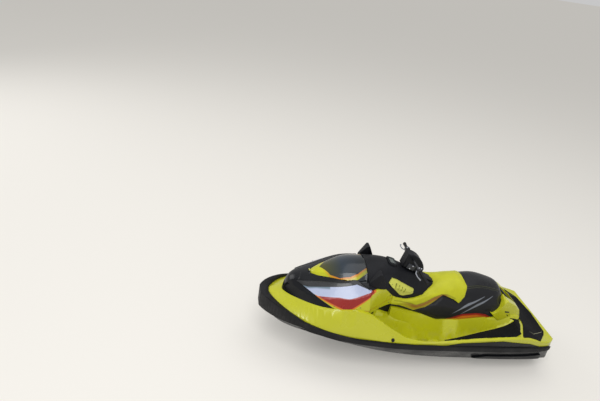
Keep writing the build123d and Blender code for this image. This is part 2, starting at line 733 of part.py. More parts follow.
def build_steering():
    """Column in the console; riser cover, bar, grips and controls that turn on it."""
    made = {}
    frame = steering_frame()
    made["steering_column"] = frame * Pos(0, 0, -20) * Cylinder(20 - RUNNING, 50)
    points = [Vector(x_at(aft), y, z) for aft, y, z in BAR_PATH]
    bar = None
    for a, b in zip(points, points[1:]):
        piece = rod(tuple(a), tuple(b), BAR_R) + Pos(*b) * Sphere(BAR_R)
        bar = piece if bar is None else bar + piece
    bar = bar + mirrored(bar)
    edges = Polyline(*RISER_FRONT).edges() + ThreePointArc(*RISER_BACK).edges()
    edges += Line(RISER_BACK[-1], RISER_FRONT[0]).edges()
    riser = Plane.XZ * extrude(make_face(edges), amount=RISER_HALF, both=True)
    sides = riser.edges().group_by(Axis.Y)
    riser = frame * fillet(sides[0] + sides[-1], RISER_ROUND)
    made["handlebar"] = bar
    made["riser_cover"] = riser - bar - made["steering_column"]
    start = points[2] + (points[3] - points[2]) * 0.22
    grip = rod(tuple(start), tuple(points[3]), GRIP_R)
    grip += Pos(*points[3]) * Sphere(GRIP_R + 3) - bar
    controls = bar_controls(points[2], points[3]) - bar - grip
    for name, solid in (("grip", grip - bar), ("controls", controls)):
        made[f"{name}_port"] = solid
        made[f"{name}_starboard"] = mirrored(solid)
    return made


def bar_controls(start, end):
    """Switch pod on a clamp round the bar, with a curved lever that pivots in front of it."""
    along_bar = end - start
    middle = start + along_bar * 0.08
    pod = fillet(Box(*POD).edges().filter_by(Axis.Y), 9)
    clamp = rod(tuple(middle - along_bar * 0.09), tuple(middle + along_bar * 0.12), CLAMP_R)
    knots = [start + along_bar * 0.22 + Vector(*place) for place in LEVER_PATH]
    lever = Pos(*knots[-1]) * Sphere(LEVER_R + 3)
    for a, b in zip(knots, knots[1:]):
        lever += rod(tuple(a), tuple(b), LEVER_R) + Pos(*a) * Sphere(LEVER_R)
    return Pos(*middle) * pod + clamp + lever


def helical_blades(count, inner, outer, thick, aft, length, twist):
    """Blades that wind about the pump axis."""
    root = Plane(origin=(x_at(aft), 0, 0), x_dir=(0, 1, 0), z_dir=(-1, 0, 0))
    blades = []
    for number in range(count):
        section = Rot(0, 0, 360 / count * number) * Pos((inner + outer) / 2, 0) * Rectangle(
            outer - inner, thick
        )
        blade = Solid.extrude_linear_with_rotation(
            (root * section).face(), root.origin, root.z_dir * length, twist
        )
        blades.append(Pos(0, 0, PUMP_Z) * blade)
    return blades


def build_pump():
    """Pump housing, impeller on its shaft, venturi, steering nozzle and reverse bucket."""
    made = {}
    housing = along([(PUMP_FACE, 0), (PUMP_FACE, HOUSING_R), (HOUSING_END, HOUSING_R),
                     (HOUSING_END, 0)], PUMP_Z)
    housing -= rod((x_at(PUMP_FACE - 5), 0, PUMP_Z), (x_at(HOUSING_END + 5), 0, PUMP_Z), BORE_R)
    made["pump_housing"] = housing

    outer = BORE_R - TIP_GAP
    shaft = rod((x_at(2180), 0, PUMP_Z), (x_at(PUMP_FACE + 90), 0, PUMP_Z), SHAFT_R)
    hub = along([(PUMP_FACE - 10, 0), (PUMP_FACE - 10, 18), (PUMP_FACE + 20, HUB_R),
                 (PUMP_FACE + 92, HUB_R), (PUMP_FACE + 92, 0)], PUMP_Z)
    impeller = shaft + hub
    for blade in helical_blades(BLADES, HUB_R - 5, outer, 5, PUMP_FACE + 14, 72, 75):
        impeller += blade
    made["impeller"] = impeller

    shell = along([(HOUSING_END, 0), (HOUSING_END, HOUSING_R), (HOUSING_END + 14, HOUSING_R),
                   (HOUSING_END + 14, 90), (HOUSING_END + 60, VENTURI_TIP_R + 2),
                   (VENTURI_END, VENTURI_TIP_R), (VENTURI_END, 0)], PUMP_Z)
    reach = BUCKET_HALF + 4
    shell += rod((x_at(BUCKET_PIVOT), -reach, BUCKET_Z), (x_at(BUCKET_PIVOT), reach, BUCKET_Z), 13)
    pin = rod((x_at(NOZZLE_PIVOT), 0, PUMP_Z + 46), (x_at(NOZZLE_PIVOT), 0, PUMP_Z + 86), 8)
    lug = box_between((3035, NOZZLE_PIVOT + 12), (-12, 12), (PUMP_Z + 44, PUMP_Z + 58))
    for side in (0, 180):
        shell += Pos(0, 0, PUMP_Z) * Rot(side, 0, 0) * Pos(0, 0, -PUMP_Z) * (lug + pin)
    throat = VENTURI_TIP_R - VENTURI_WALL
    shell -= along([(HOUSING_END - 1, 0), (HOUSING_END - 1, BORE_R), (HOUSING_END + 20, BORE_R),
                    (HOUSING_END + 60, throat + 2), (VENTURI_END + 30, throat),
                    (VENTURI_END + 30, 0)], PUMP_Z)
    cone = along([(HOUSING_END - 20, 0), (HOUSING_END - 20, HUB_R), (HOUSING_END + 30, HUB_R),
                  (VENTURI_END - 30, 6), (VENTURI_END - 30, 0)], PUMP_Z)
    venturi = shell + cone
    for vane in helical_blades(VANES, HUB_R - 5, BORE_R + 3, 4, HOUSING_END + 1, 18, -10):
        venturi += vane
    made["venturi"] = venturi

    nozzle = along([(NOZZLE_PIVOT - 12, 66), (NOZZLE_PIVOT - 12, 78), (NOZZLE_PIVOT + 20, 76),
                    (NOZZLE_EXIT, 50), (NOZZLE_EXIT, 42), (NOZZLE_PIVOT + 20, 66)], PUMP_Z)
    hole = rod((x_at(NOZZLE_PIVOT), 0, 0), (x_at(NOZZLE_PIVOT), 0, 300), 8 + RUNNING)
    made["steering_nozzle"] = nozzle - hole
    made["reverse_bucket"] = reverse_bucket()
    return made


def reverse_bucket():
    """Bucket that drops behind the nozzle: a barrel of two arcs on two arms."""
    pivot = (x_at(BUCKET_PIVOT), 0, BUCKET_Z)
    axis = Plane(origin=pivot, x_dir=(-1, 0, 0), z_dir=(0, 1, 0))
    outer, inner = BUCKET_R + 6, BUCKET_R
    low, high = 28, 88
    points = []
    for radius in (outer, inner):
        for angle in (low, (low + high) / 2, high):
            points.append((radius * cos(radians(angle)), radius * sin(radians(angle))))
    edges = ThreePointArc(*points[:3]).edges() + Line(points[2], points[5]).edges()
    edges += ThreePointArc(*reversed(points[3:])).edges() + Line(points[3], points[0]).edges()
    scoop = extrude(make_face(edges), amount=BUCKET_HALF, both=True)
    arm = Circle(24)
    cheek = make_hull(arm.edges() + make_face(edges).edges())
    side = extrude(cheek, amount=7) - Pos(0, 0, -1) * Cylinder(13 + RUNNING, 30)
    shell = scoop + Pos(0, 0, BUCKET_HALF - 7) * side + Pos(0, 0, -BUCKET_HALF) * side
    return axis * shell


parts = {}
parts.update(build_hull_and_deck())
parts.update(build_hull_fittings(parts["hull"], parts["bumper"]))
parts.update(build_upper_works(parts["deck"]))
parts.update(build_mirrors())
parts.update(build_steering())
parts.update(build_pump())

for name, solid in parts.items():
    export_step(solid, f"parts/{name}.step")
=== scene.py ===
import json
from math import cos, pi, radians, sin

import bpy
from bpy.props import FloatProperty, FloatVectorProperty, PointerProperty
from mathutils import Matrix, Vector
from mathutils.bvhtree import BVHTree
from mathutils.geometry import intersect_point_line

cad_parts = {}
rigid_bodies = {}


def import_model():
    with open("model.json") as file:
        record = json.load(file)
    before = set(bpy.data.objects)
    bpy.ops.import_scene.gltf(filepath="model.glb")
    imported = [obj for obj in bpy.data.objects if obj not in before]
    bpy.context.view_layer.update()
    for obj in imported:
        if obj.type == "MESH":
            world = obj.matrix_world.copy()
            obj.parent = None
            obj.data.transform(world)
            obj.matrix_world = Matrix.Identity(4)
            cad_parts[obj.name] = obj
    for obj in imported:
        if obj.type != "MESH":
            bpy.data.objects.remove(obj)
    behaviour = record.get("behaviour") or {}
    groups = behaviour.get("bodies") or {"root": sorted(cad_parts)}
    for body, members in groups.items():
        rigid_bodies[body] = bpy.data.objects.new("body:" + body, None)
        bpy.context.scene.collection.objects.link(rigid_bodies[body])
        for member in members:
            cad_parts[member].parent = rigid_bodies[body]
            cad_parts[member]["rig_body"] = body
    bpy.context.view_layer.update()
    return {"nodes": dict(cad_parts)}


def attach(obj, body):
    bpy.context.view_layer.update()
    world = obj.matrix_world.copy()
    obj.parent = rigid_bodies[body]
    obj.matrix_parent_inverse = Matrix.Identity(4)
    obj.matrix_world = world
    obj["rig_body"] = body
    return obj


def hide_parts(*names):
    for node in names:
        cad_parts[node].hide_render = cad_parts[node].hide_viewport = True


bl_info = {
    "name": "Personal Watercraft",
    "version": (1, 0, 0),
    "blender": (4, 5, 0),
    "location": "3D View > Sidebar > Craft",
    "description": "Dresses a two-seat sport watercraft: gelcoat, films, cushions, grips and mats",
    "category": "Object",
}

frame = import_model()

# Places are metres. A place along the craft is given aft of the bow tip, as in the part's source.
BOW_X = 1.617

# A curve node's heights run from 0 to 1, and stand for 0 to this many metres
TALL = 1.2

# Repeats in the finish: a seam's stitches, the rear seat's ribs and the bars on the gauge
STITCH = 0.007
SEAT_RIB = 0.018
GAUGE_BAR = 0.006

# Camera: where it stands, which way it looks in degrees, its lens and its sensor
CAMERA_PLACE = (2.179, 4.450, 3.808)
CAMERA_AZIMUTH = 169.31
CAMERA_ELEVATION = 25.49
CAMERA_ROLL = 8.71
LENS_MM = 31.22
SENSOR_MM = 36

# Side of the floor, wide enough that its edge is never seen near the craft
FLOOR_SIZE = 400

# Straight part of the handlebar's port side: its start and end, and the grip and the pod on it
BAR_BEND = Vector((0.045, 0.190, 1.056))
BAR_END = Vector((0.011, 0.372, 1.020))
GRIP_START = BAR_BEND.lerp(BAR_END, 0.22)
POD_MIDDLE = BAR_BEND.lerp(BAR_END, 0.08)

# How far the steering column leans back
COLUMN_TILT = radians(22)

# Face of the gauge: its middle on the console, and how far it is tipped back, in radians
GAUGE_MIDDLE = (0.272, 0.0, 1.019)
GAUGE_TIP = 0.2543


def linear(code):
    """Linear colour from an sRGB hex value."""
    parts = [int(code[i:i + 2], 16) / 255 for i in (1, 3, 5)]
    return tuple(c / 12.92 if c <= 0.04045 else ((c + 0.055) / 1.055) ** 2.4 for c in parts)


def per(mm):
    """Texture scale that gives a pattern of that size on coordinates in metres."""
    return 1000 / mm


def x_at(aft):
    """Frame X of a place given by its distance aft of the bow tip."""
    return BOW_X - aft


class CraftColours(bpy.types.PropertyGroup):
    """Colours of the craft."""

    yellow: FloatVectorProperty(
        name="Gelcoat yellow", description="Deck, rear cowl and saddle", subtype="COLOR",
        default=linear("#C3C41C"))
    black: FloatVectorProperty(
        name="Gelcoat black", description="Hull and nose", subtype="COLOR",
        default=linear("#101216"))
    plastic: FloatVectorProperty(
        name="Plastic black", description="Console, pods and riser", subtype="COLOR",
        default=linear("#121317"))
    silver: FloatVectorProperty(
        name="Silver film", description="Fairing's long field", subtype="COLOR",
        default=linear("#AEB7D2"))
    red: FloatVectorProperty(
        name="Red film", description="Field under the silver", subtype="COLOR",
        default=linear("#97190F"))
    # Painted shade: a soft dark teal along the top of the silver field
    teal_shade: FloatVectorProperty(
        name="Teal painted shade", description="Thin edge above the silver", subtype="COLOR",
        default=linear("#3F5F68"))
    orange: FloatVectorProperty(
        name="Orange film", description="Edge of the stripes", subtype="COLOR",
        default=linear("#D9771A"))
    vent: FloatVectorProperty(
        name="Vent yellow", description="Side vents", subtype="COLOR",
        default=linear("#C9CB55"))
    mat: FloatVectorProperty(
        name="Mat black", description="Footwell and platform mats", subtype="COLOR",
        default=linear("#121316"))


class CraftSizes(bpy.types.PropertyGroup):
    """Sizes of the finish, in metres."""

    swell: FloatProperty(
        name="Cushion swell", description="How far a cushion's face may rise", unit="LENGTH",
        default=0.010, min=0.0, max=0.03)
    voxel: FloatProperty(
        name="Cushion mesh", description="Mesh size of the cushions", unit="LENGTH",
        default=0.0055, min=0.004, max=0.02)
    rib: FloatProperty(
        name="Mat rib", description="Pitch of the mats' ribs", unit="LENGTH",
        default=0.014, min=0.006, max=0.04)


def colours():
    """The colours that the operators use."""
    return bpy.context.scene.craft_colours


def sizes():
    """The sizes that the operators use."""
    return bpy.context.scene.craft_sizes


def add(tree, kind, sockets=(), **settings):
    """Adds a node with its settings; sockets pairs an input with a value or another node's output."""
    made = tree.nodes.new(kind)
    for name, value in settings.items():
        setattr(made, name, value)
    for key, value in dict(sockets).items():
        if isinstance(value, bpy.types.NodeSocket):
            tree.links.new(value, made.inputs[key])
        else:
            made.inputs[key].default_value = value
    return made


class Finish:
    """A material under way: its shader, its colour and relief so far, and its place on the object."""

    def __init__(self, name, colour, roughness, metallic=0.0, ior=1.5, coat=0.0, sheen=0.0,
                 shine=0.5):
        self.material = bpy.data.materials.new(name)
        self.material.use_nodes = True
        self.tree = self.material.node_tree
        self.shader = self.tree.nodes["Principled BSDF"]
        plain = {"Metallic": metallic, "IOR": ior, "Coat Weight": coat, "Coat Roughness": 0.06,
                 "Sheen Weight": sheen, "Specular IOR Level": shine}
        for socket, value in plain.items():
            self.shader.inputs[socket].default_value = value
        self.roughness = roughness
        self.place = add(self.tree, "ShaderNodeTexCoord").outputs["Object"]
        axes = add(self.tree, "ShaderNodeSeparateXYZ", {0: self.place}).outputs
        self.aft = self.above(BOW_X, axes[0])
        self.port = axes[1]
        self.side = add(self.tree, "ShaderNodeMath", {0: axes[1]}, operation="ABSOLUTE").outputs[0]
        self.up = axes[2]
        self.colour = add(self.tree, "ShaderNodeRGB").outputs[0]
        self.colour.default_value = (*colour, 1)
        self.height = None

    def above(self, value, edge):
        """How far a value is above an edge."""
        return add(self.tree, "ShaderNodeMath", {0: value, 1: edge}, operation="SUBTRACT").outputs[0]

    def off(self, value, middle):
        """How far a value is from a middle, either way."""
        apart = {0: self.above(value, middle)}
        return add(self.tree, "ShaderNodeMath", apart, operation="ABSOLUTE").outputs[0]

    def times(self, first, *others):
        """Masks and plain numbers multiplied: masks give 1 only where all of them are 1."""
        for other in others:
            pair = {0: first, 1: other}
            first = add(self.tree, "ShaderNodeMath", pair, operation="MULTIPLY").outputs[0]
        return first

    def waves(self, along, pitch):
        """Waves of that pitch over a place, -1 to 1."""
        phase = {0: self.times(along, 2 * pi / pitch)}
        return add(self.tree, "ShaderNodeMath", phase, operation="SINE").outputs[0]

    def fade(self, value, start, end, low=0.0, high=1.0):
        """Goes from low to high while value goes from start to end, and keeps to them beyond."""
        sockets = {0: value, 1: start, 2: end, 3: low, 4: high}
        return add(self.tree, "ShaderNodeMapRange", sockets).outputs[0]

    def over(self, value, edge, soft=0.001):
        """Mask that is 1 where value is above edge."""
        return self.fade(self.above(value, edge), -soft, soft)

    def patches(self, mm, detail, start, end, low=0.0, high=1.0, rough=0.5):
        """Soft patches of about that size, made from noise that fades from low to high."""
        sockets = {"Vector": self.place, "Scale": per(mm), "Detail": detail, "Roughness": rough}
        cloud = add(self.tree, "ShaderNodeTexNoise", sockets).outputs[0]
        return self.fade(cloud, start, end, low, high)

    def line(self, along, points):
        """Height of a bent line over a place along the craft, from a few (along, height) points."""
        first, last = points[0][0], points[-1][0]
        bent = add(self.tree, "ShaderNodeFloatCurve", {1: self.fade(along, first, last)})
        knots = bent.mapping.curves[0].points
        knots[0].location = (0, points[0][1] / TALL)
        knots[1].location = (1, points[-1][1] / TALL)
        for place, height in points[1:-1]:
            knots.new((place - first) / (last - first), height / TALL)
        for knot in knots:
            knot.handle_type = "VECTOR"
        bent.mapping.update()
        return self.times(bent.outputs[0], TALL)

    def band(self, along, height, low, high, soft=0.001):
        """Mask between two bent lines and between their ends."""
        ends = self.times(self.over(along, low[0][0], soft), self.over(low[-1][0], along, soft))
        inside = self.times(self.over(height, self.line(along, low), soft),
                            self.over(self.line(along, high), height, soft))
        return self.times(ends, inside)

    def paint(self, mask, colour):
        """Lays a colour over the colour so far where the mask is 1."""
        if not isinstance(colour, bpy.types.NodeSocket):
            colour = (*colour, 1)
        mix = add(self.tree, "ShaderNodeMix", {0: mask, 6: self.colour, 7: colour}, data_type="RGBA")
        self.colour = mix.outputs[2]

    def tone(self, mask, factor):
        """Multiplies the colour so far by factor where the mask is 1."""
        level = self.fade(mask, 0, 1, 1.0, factor)
        scaled = add(self.tree, "ShaderNodeVectorMath", {0: self.colour, 3: level}, operation="SCALE")
        self.colour = scaled.outputs[0]

    def mottle(self, mm, detail, factor, start=0.35):
        """Multiplies the colour so far by factor in soft patches of about that size."""
        self.tone(self.patches(mm, detail, start, 0.7), factor)

    def raise_by(self, value, mm):
        """Adds a relief of that many millimetres where value is 1."""
        step = self.times(value, mm / 1000)
        if self.height is not None:
            pair = {0: self.height, 1: step}
            step = add(self.tree, "ShaderNodeMath", pair, operation="ADD").outputs[0]
        self.height = step

    def grain(self, mm, detail, depth):
        """Adds a relief of noise of about that size and depth, in millimetres."""
        sockets = {"Vector": self.place, "Scale": per(mm), "Detail": detail}
        self.raise_by(add(self.tree, "ShaderNodeTexNoise", sockets).outputs[0], depth)

    def done(self, edge_mm=2.0, spread=0.08, patch_mm=180, wear=0.0, worn=None):
        """Rounds and rubs the edges, lets the roughness drift and joins everything to the shader."""
        tree = self.tree
        soft = add(tree, "ShaderNodeBevel", {"Radius": edge_mm / 1000}, samples=6)
        if wear:
            # An edge is where the rounded normal turns away from the true one
            sharp = add(tree, "ShaderNodeNewGeometry").outputs["Normal"]
            agree = add(tree, "ShaderNodeVectorMath", {0: soft.outputs[0], 1: sharp},
                        operation="DOT_PRODUCT").outputs["Value"]
            rubbed = self.fade(agree, 0.97, 0.80)
            self.paint(self.times(rubbed, self.patches(9, 5, 0.5, 0.7), wear), worn)
        drift = self.patches(patch_mm, 4, 0.35, 0.65, self.roughness - spread,
                             self.roughness + spread)
        tree.links.new(drift, self.shader.inputs["Roughness"])
        tree.links.new(self.colour, self.shader.inputs["Base Color"])
        normal = soft.outputs[0]
        if self.height is not None:
            normal = add(tree, "ShaderNodeBump", {"Height": self.height, "Normal": normal,
                                                  "Distance": 1.0}).outputs[0]
        tree.links.new(normal, self.shader.inputs["Normal"])
        return self.material


def yellow_gelcoat():
    """Polyester gelcoat, sprayed in the mould and polished: deep gloss, a faint 14 mm ripple."""
    finish = Finish("yellow_gelcoat", colours().yellow, 0.30, ior=1.53, coat=0.25)
    finish.mottle(350, 3, 0.93)
    finish.grain(14, 2, 0.03)
    return finish


def deck_gelcoat():
    """Deck gelcoat: the same gloss, dulled by patches of sand dust low in the footwells."""
    finish = yellow_gelcoat()
    finish.material.name = "deck_gelcoat"
    low = finish.fade(finish.up, 0.50, 0.30)
    dust = finish.times(low, finish.patches(60, 6, 0.5, 0.75), 0.22)
    finish.paint(dust, linear("#B9AE8C"))
    return finish.done(edge_mm=4, spread=0.06, wear=0.25, worn=linear("#D9D98A"))


def cowl_gelcoat():
    """Rear cowl: the same gelcoat, with painted shade standing for a small dark slot low on each side.
    """
    finish = yellow_gelcoat()
    finish.material.name = "cowl_gelcoat"
    # Painted shade: a dark olive strip standing for the inside of a slot
    slot = finish.band(finish.aft, finish.up, [(2.655, 0.592), (2.715, 0.586)],
                       [(2.655, 0.612), (2.715, 0.600)])
    finish.paint(slot, linear("#2A2A1E"))
    return finish.done(edge_mm=3, spread=0.06, wear=0.2, worn=linear("#D9D98A"))


def black_gelcoat():
    """Black gelcoat on the hull: gloss under fine scratches and dried sand near the keel."""
    finish = Finish("black_gelcoat", colours().black, 0.34, ior=1.53, coat=0.06, shine=0.22)
    finish.mottle(280, 4, 1.4)
    low = finish.fade(finish.up, 0.16, 0.01)
    sand = finish.times(low, finish.patches(45, 7, 0.48, 0.72, rough=0.65), 0.30)
    finish.paint(sand, linear("#6F685A"))
    # Noise drawn out along the craft, as a beach scratches a hull
    drawn = add(finish.tree, "ShaderNodeMapping", {0: finish.place, 3: (0.06, 1, 1)}).outputs[0]
    fine = {"Vector": drawn, "Scale": per(5), "Detail": 6.0}
    scratch = add(finish.tree, "ShaderNodeTexNoise", fine).outputs[0]
    finish.paint(finish.times(finish.fade(scratch, 0.63, 0.72), 0.2), linear("#33363B"))
    finish.raise_by(scratch, 0.02)
    return finish.done(edge_mm=4, spread=0.1, wear=0.35, worn=linear("#55585C"))


def gloss_black():
    """Nose and cowl mouldings in the same black, polished, with a slight blue cast."""
    finish = Finish("gloss_black_moulding", colours().black, 0.26, coat=0.06, shine=0.25)
    finish.mottle(220, 3, 1.35)
    finish.grain(18, 2, 0.03)
    return finish.done(edge_mm=3, spread=0.06, wear=0.25, worn=linear("#5A5D63"))


def moulded_plastic():
    """Moulded polypropylene: dull black with a pebbled grain, drawn at 4 mm so that it shows."""
    finish = Finish("moulded_polypropylene", colours().plastic, 0.50, ior=1.49, shine=0.22)
    cells = add(finish.tree, "ShaderNodeTexVoronoi", {"Vector": finish.place, "Scale": per(4)})
    finish.raise_by(cells.outputs["Distance"], 0.12)
    finish.mottle(120, 4, 1.35)
    return finish.done(edge_mm=3, spread=0.08, wear=0.3, worn=linear("#4C4F55"))


def bumper_rubber():
    """Extruded rubber: matt, with a bloom of dust. Its pores are drawn at 3 mm so that they show."""
    finish = Finish("extruded_rubber", linear("#0F0F12"), 0.62, ior=1.52, shine=0.3)
    finish.mottle(70, 5, 1.6, 0.4)
    finish.grain(3, 4, 0.15)
    return finish.done(edge_mm=5, spread=0.1, wear=0.3, worn=linear("#4A4A4C"))


def foam_mat():
    """Closed-cell foam mat: milled ribs across the craft, with painted shade darkening the grooves
    between their tops.
    """
    finish = Finish("closed_cell_foam", colours().mat, 0.8, ior=1.45, shine=0.2)
    rib = finish.fade(finish.waves(finish.aft, sizes().rib), -0.35, 0.35)
    finish.raise_by(rib, 1.2)
    # Painted shade: the grooves between the ribs darkened to 0.6
    finish.tone(finish.fade(rib, 1, 0), 0.6)
    finish.mottle(40, 5, 1.35, 0.4)
    finish.grain(2.5, 3, 0.2)
    return finish


def platform_foam():
    """The same foam on the stern platform, with a thin pale line cut through to its lower layer."""
    finish = foam_mat()
    finish.material.name = "platform_foam"
    low = [(2.905, 0.4035), (2.943, 0.4275), (3.116, 0.3255)]
    high = [(place, side + 0.005) for place, side in low]
    line = finish.band(finish.aft, finish.side, low, high)
    finish.paint(line, linear("#A9A98C"))
    finish.raise_by(line, -1.5)
    return finish


def marine_vinyl(name, colour):
    """Sewn marine vinyl over foam: soft sheen and a leather grain, drawn at 5 mm so that it shows."""
    finish = Finish(name, colour, 0.42, sheen=0.05, shine=0.35)
    cells = add(finish.tree, "ShaderNodeTexVoronoi",
                {"Vector": finish.place, "Scale": per(5)}, feature="DISTANCE_TO_EDGE")
    finish.raise_by(finish.fade(cells.outputs[0], 0.0, 0.25), 0.14)
    finish.grain(55, 3, 0.9)
    finish.mottle(90, 4, 0.9)
    return finish


# Sewn seams as (aft, up) on the saddle's side and (aft, side) on top of the rear seat
SADDLE_SEAM = [(1.36, 0.715), (1.498, 0.695), (1.617, 0.660), (1.701, 0.688), (1.807, 0.742),
               (1.900, 0.765), (1.960, 0.762), (2.060, 0.726)]
REAR_SEAM = [(2.18, 0.150), (2.30, 0.146), (2.58, 0.128)]

# Half width of a seam's groove; its stitches lie between 1.6 and 2.5 times as far out
GROOVE = 0.0035


def seam(finish, along, height, points):
    """A sewn seam: a groove along a bent line, darkened with painted shade, with stitches beside it."""
    gap = finish.off(height, finish.line(along, points))
    ends = finish.times(finish.over(along, points[0][0]), finish.over(points[-1][0], along))
    groove = finish.times(finish.fade(gap, GROOVE, 0), ends)
    finish.raise_by(groove, -2.2)
    # Painted shade: the groove darkened to 0.45
    finish.tone(groove, 0.45)
    beside = finish.times(finish.fade(gap, GROOVE * 1.6, GROOVE * 1.9),
                          finish.fade(gap, GROOVE * 2.5, GROOVE * 2.2))
    stitch = finish.times(beside, finish.fade(finish.waves(along, STITCH), -0.2, 0.1), ends)
    finish.raise_by(stitch, 0.6)
    finish.paint(finish.times(stitch, 0.5), linear("#8B8F55"))


def saddle_vinyl():
    """Yellow vinyl of the front saddle: a sewn seam along its side and a painted red-brown shade below
    it.
    """
    finish = marine_vinyl("yellow_marine_vinyl", colours().yellow)
    below = finish.above(finish.line(finish.aft, SADDLE_SEAM), finish.up)
    # Painted shade: red-brown, strongest from 4 to 20 mm below the seam and gone 75 mm below it
    shade = finish.times(finish.fade(below, -0.003, 0.004), finish.fade(below, 0.075, 0.02))
    ends = finish.times(finish.fade(finish.aft, 1.42, 1.58), finish.fade(finish.aft, 2.00, 1.94))
    finish.paint(finish.times(shade, ends, 0.85), linear("#8C4A1E"))
    seam(finish, finish.aft, finish.up, SADDLE_SEAM)
    return finish.done(edge_mm=4, spread=0.07)


def rear_vinyl():
    """Black vinyl of the rear seat: a red to orange sweep along its foot and two grey slashes."""
    finish = marine_vinyl("black_marine_vinyl", linear("#101116"))
    low = [(1.98, 0.40), (2.56, 0.40)]
    high = [(1.98, 0.482), (2.023, 0.503), (2.171, 0.560), (2.330, 0.578), (2.43, 0.566),
            (2.56, 0.505)]
    sweep = finish.band(finish.aft, finish.up, low, high, 0.002)
    below = finish.above(finish.line(finish.aft, high), finish.up)
    warm = {0: finish.fade(below, 0.014, 0.034), 6: (*colours().red, 1), 7: (*colours().orange, 1)}
    finish.paint(sweep, add(finish.tree, "ShaderNodeMix", warm, data_type="RGBA").outputs[2])
    for start in (2.05, 2.15):
        low = [(start, 0.560), (start + 0.34, 0.757)]
        high = [(start, 0.562), (start + 0.16, 0.682), (start + 0.34, 0.762)]
        slash = finish.times(finish.band(finish.aft, finish.up, low, high),
                             finish.over(finish.side, 0.10))
        finish.paint(slash, linear("#7A7F88"))
    seam(finish, finish.aft, finish.side, REAR_SEAM)
    rib = finish.fade(finish.waves(finish.aft, SEAT_RIB), -0.6, 0.6)
    inner = finish.times(finish.over(0.128, finish.side, 0.004), finish.over(finish.up, 0.79))
    finish.raise_by(finish.times(rib, inner), 1.0)
    return finish.done(edge_mm=4, spread=0.07)


def fairing_film():
    """Fairing moulding: yellow, with a silver film, a red one under it, an orange edge, and a painted
    shadow line low towards its rear.
    """
    finish = yellow_gelcoat()
    finish.material.name = "fairing_film"
    aft, up = finish.aft, finish.up
    roof = [(0.30, 0.95), (1.10, 0.95)]
    orange = [(0.52, 0.757), (0.79, 0.690), (0.88, 0.700), (1.12, 0.866)]
    red = [(0.54, 0.764), (0.797, 0.704), (0.872, 0.712), (1.098, 0.860)]
    silver = [(0.34, 0.775), (0.416, 0.764), (0.545, 0.760), (0.746, 0.799), (0.848, 0.804),
              (1.076, 0.871)]
    upper = [(0.30, 0.770), (0.352, 0.780), (0.454, 0.790), (0.663, 0.843), (0.925, 0.905),
             (1.076, 0.874)]
    finish.paint(finish.band(aft, up, orange, [(0.52, 0.90), (1.12, 0.95)]), colours().orange)
    finish.paint(finish.band(aft, up, red, [(0.54, 0.90), (1.098, 0.95)], 0.003), colours().red)
    finish.paint(finish.band(aft, up, silver, [(0.34, 0.95), (1.076, 0.95)]), colours().silver)
    # Painted shade: a soft dark teal band along the top of the silver, partly under the black strip
    shade = [(0.400, 0.770), (0.475, 0.786), (0.532, 0.803), (0.664, 0.830)]
    teal_shade = finish.band(aft, up, shade, [(0.400, 0.95), (0.664, 0.95)], 0.005)
    finish.paint(finish.times(teal_shade, 0.75), colours().teal_shade)
    finish.paint(finish.band(aft, up, upper, roof), colours().black)
    # Painted shadow: a thin orange-brown line where the fairing meets the footwell's inner wall
    foot = [(1.007, 0.694), (1.179, 0.678), (1.309, 0.733), (1.394, 0.770)]
    painted_shadow_line = finish.band(aft, up, foot, [(place, height + 0.007) for place, height in foot], 0.003)
    finish.paint(finish.times(painted_shadow_line, 0.6), linear("#A8541C"))
    return finish.done(edge_mm=3, spread=0.05, wear=0.15, worn=linear("#C9C9B0"))


def hood_film():
    """Hood moulding: smoked black with a yellow and orange stripe that runs round its edge, and a
    painted reflection over its front that turns from olive to blue-grey.
    """
    finish = Finish("hood_film", linear("#1A2024"), 0.22, coat=0.2, shine=0.4)
    tree = finish.tree
    # Painted reflection: olive at the hood's front, blue-grey further aft, laid over the front part of
    # the smoked black
    cast = {0: finish.fade(finish.aft, 0.62, 0.80), 6: (*linear("#4A4A1E"), 1),
            7: (*linear("#27333F"), 1)}
    finish.paint(finish.fade(finish.aft, 1.02, 0.80),
                 add(tree, "ShaderNodeMix", cast, data_type="RGBA").outputs[2])
    inner = finish.line(finish.aft, [(0.49, -0.09), (0.583, 0.0), (0.677, 0.130), (0.770, 0.191),
                                     (0.866, 0.206), (0.947, 0.186), (1.05, 0.120)])
    outer = finish.line(finish.aft, [(0.49, 0.36), (0.780, 0.360), (0.870, 0.275), (0.930, 0.238),
                                     (1.05, 0.176)])
    stripe = finish.times(finish.over(finish.side, inner, 0.0015),
                          finish.over(outer, finish.side, 0.003),
                          finish.fade(finish.aft, 1.05, 0.92, 0.35, 1.0))
    # The stripe turns from orange to yellow away from its inner edge, and is all yellow in front
    out = finish.fade(finish.above(finish.side, inner), 0.0, 0.03)
    front = finish.above(1.0, finish.fade(finish.aft, 0.60, 0.74))
    most = add(tree, "ShaderNodeMath", {0: out, 1: front}, operation="MAXIMUM").outputs[0]
    warm = {0: most, 6: (*colours().orange, 1), 7: (*colours().yellow, 1)}
    finish.paint(stripe, add(tree, "ShaderNodeMix", warm, data_type="RGBA").outputs[2])
    finish.mottle(200, 3, 0.9)
    return finish.done(edge_mm=3, spread=0.04, wear=0.15, worn=linear("#6A6D72"))


def metal(name, colour, roughness, grain_mm, depth):
    """Bare metal: cast it is dull and pitted, polished or machined it is bright and nearly smooth."""
    finish = Finish(name, colour, roughness, metallic=1.0)
    finish.grain(grain_mm, 4, depth)
    finish.mottle(60, 4, 0.85)
    return finish.done(edge_mm=1.5, patch_mm=60)


